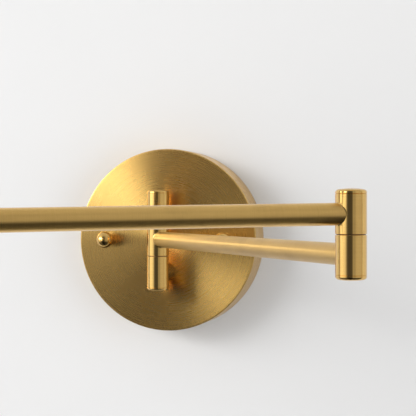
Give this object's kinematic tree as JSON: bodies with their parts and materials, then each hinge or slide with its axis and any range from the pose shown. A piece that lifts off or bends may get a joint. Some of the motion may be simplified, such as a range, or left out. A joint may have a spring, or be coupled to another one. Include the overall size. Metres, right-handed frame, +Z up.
{
  "type": "swing arm wall lamp",
  "caption": "Brass wall lamp with a round canopy, a swivel post, a folding double swing arm and a linen shade on a switched lampholder.",
  "frame": {"origin": "centre of the canopy's back, on the wall", "axes": "+X to the right as one faces the wall, +Y into the wall, +Z up"},
  "size_m": [0.3392, 0.5052, 0.2278],
  "materials": {
    "satin_brass_plate": "satin, lathe brushed",
    "polished_brass": "polished",
    "satin_brass_tube": "satin, brushed round the tube",
    "raw_brass": "as turned",
    "zinc_steel": "zinc plated",
    "white_nylon": "moulded",
    "foam_pad": "foam",
    "lead_sheath": "smooth sheath",
    "ground_sheath": "smooth sheath",
    "phenolic": "moulded",
    "linen": "plain woven linen",
    "shade_lining": "smooth sheet",
    "white_wire": "satin enamel",
    "bulb_plastic": "satin",
    "bulb_opal": "opal",
    "bulb_cap": "plated",
    "nylon_washer": "moulded"
  },
  "bodies": {
    "wall_part": {"wall_crossbar": "zinc_steel", "canopy_studs": "zinc_steel", "stud_lock_nuts": "zinc_steel", "ball_nuts": "polished_brass", "ground_screw": "zinc_steel", "ground_lead": "ground_sheath", "terminal_block": "white_nylon", "terminal_screws": "zinc_steel", "terminal_pad": "foam_pad", "canopy": "satin_brass_plate", "canopy_lead": "lead_sheath", "load_washer": "zinc_steel", "tooth_washer": "zinc_steel", "post_nut": "zinc_steel", "post_nipple": "zinc_steel", "post_stub": "polished_brass", "post_lower_barrel": "polished_brass", "post_upper_barrel": "polished_brass", "post_end_discs": "polished_brass", "post_pivot": "raw_brass", "post_washers": "nylon_washer", "post_stop_pin": "zinc_steel"},
    "lower_arm": {"post_knuckle": "polished_brass", "lower_arm_tube": "satin_brass_tube", "lower_arm_lead": "lead_sheath", "elbow_lower_barrel": "polished_brass", "elbow_bottom_cap": "polished_brass", "elbow_pivot": "raw_brass", "elbow_washer": "nylon_washer", "elbow_stop_pin": "zinc_steel", "elbow_spring_washer": "zinc_steel", "elbow_ring_nut": "raw_brass"},
    "upper_arm": {"elbow_upper_barrel": "polished_brass", "elbow_top_cap": "polished_brass", "upper_arm_tube": "satin_brass_tube", "upper_arm_lead": "lead_sheath", "end_barrel": "polished_brass", "end_cap": "polished_brass", "socket_nipple": "raw_brass", "socket_cup": "satin_brass_plate", "cup_nut": "raw_brass", "holder_cap": "polished_brass", "holder_shell": "polished_brass", "holder_insulator": "phenolic", "screw_shell": "bulb_cap", "centre_contact": "raw_brass", "bulb_base": "bulb_cap", "bulb_body": "bulb_plastic", "led_board": "bulb_cap", "bulb_dome": "bulb_opal", "shade_carrier": "white_wire", "shade_top_ring": "white_wire", "shade_nut": "polished_brass", "shade_lining": "shade_lining", "shade_linen": "linen", "shade_hems": "linen"},
    "turn_key": {"switch_key": "polished_brass", "switch_cam": "phenolic"}
  },
  "joints": [
    {"name": "wall_swing", "type": "hinge", "parent": "wall_part", "child": "lower_arm", "pos_m": [0, -0.048, 0.0009], "axis": [0, 0, 1], "range_deg": [-119.9, 50.1]},
    {"name": "elbow_swing", "type": "hinge", "parent": "lower_arm", "child": "upper_arm", "pos_m": [0.14876, -0.26124, 0.01], "axis": [0, 0, 1], "range_deg": [-58.1, 241.9]},
    {"name": "key_turn", "type": "hinge", "parent": "upper_arm", "child": "turn_key", "pos_m": [-0.10284, -0.42463, 0.04681], "axis": [0.5446, -0.8387, 0], "continuous": true}
  ]
}
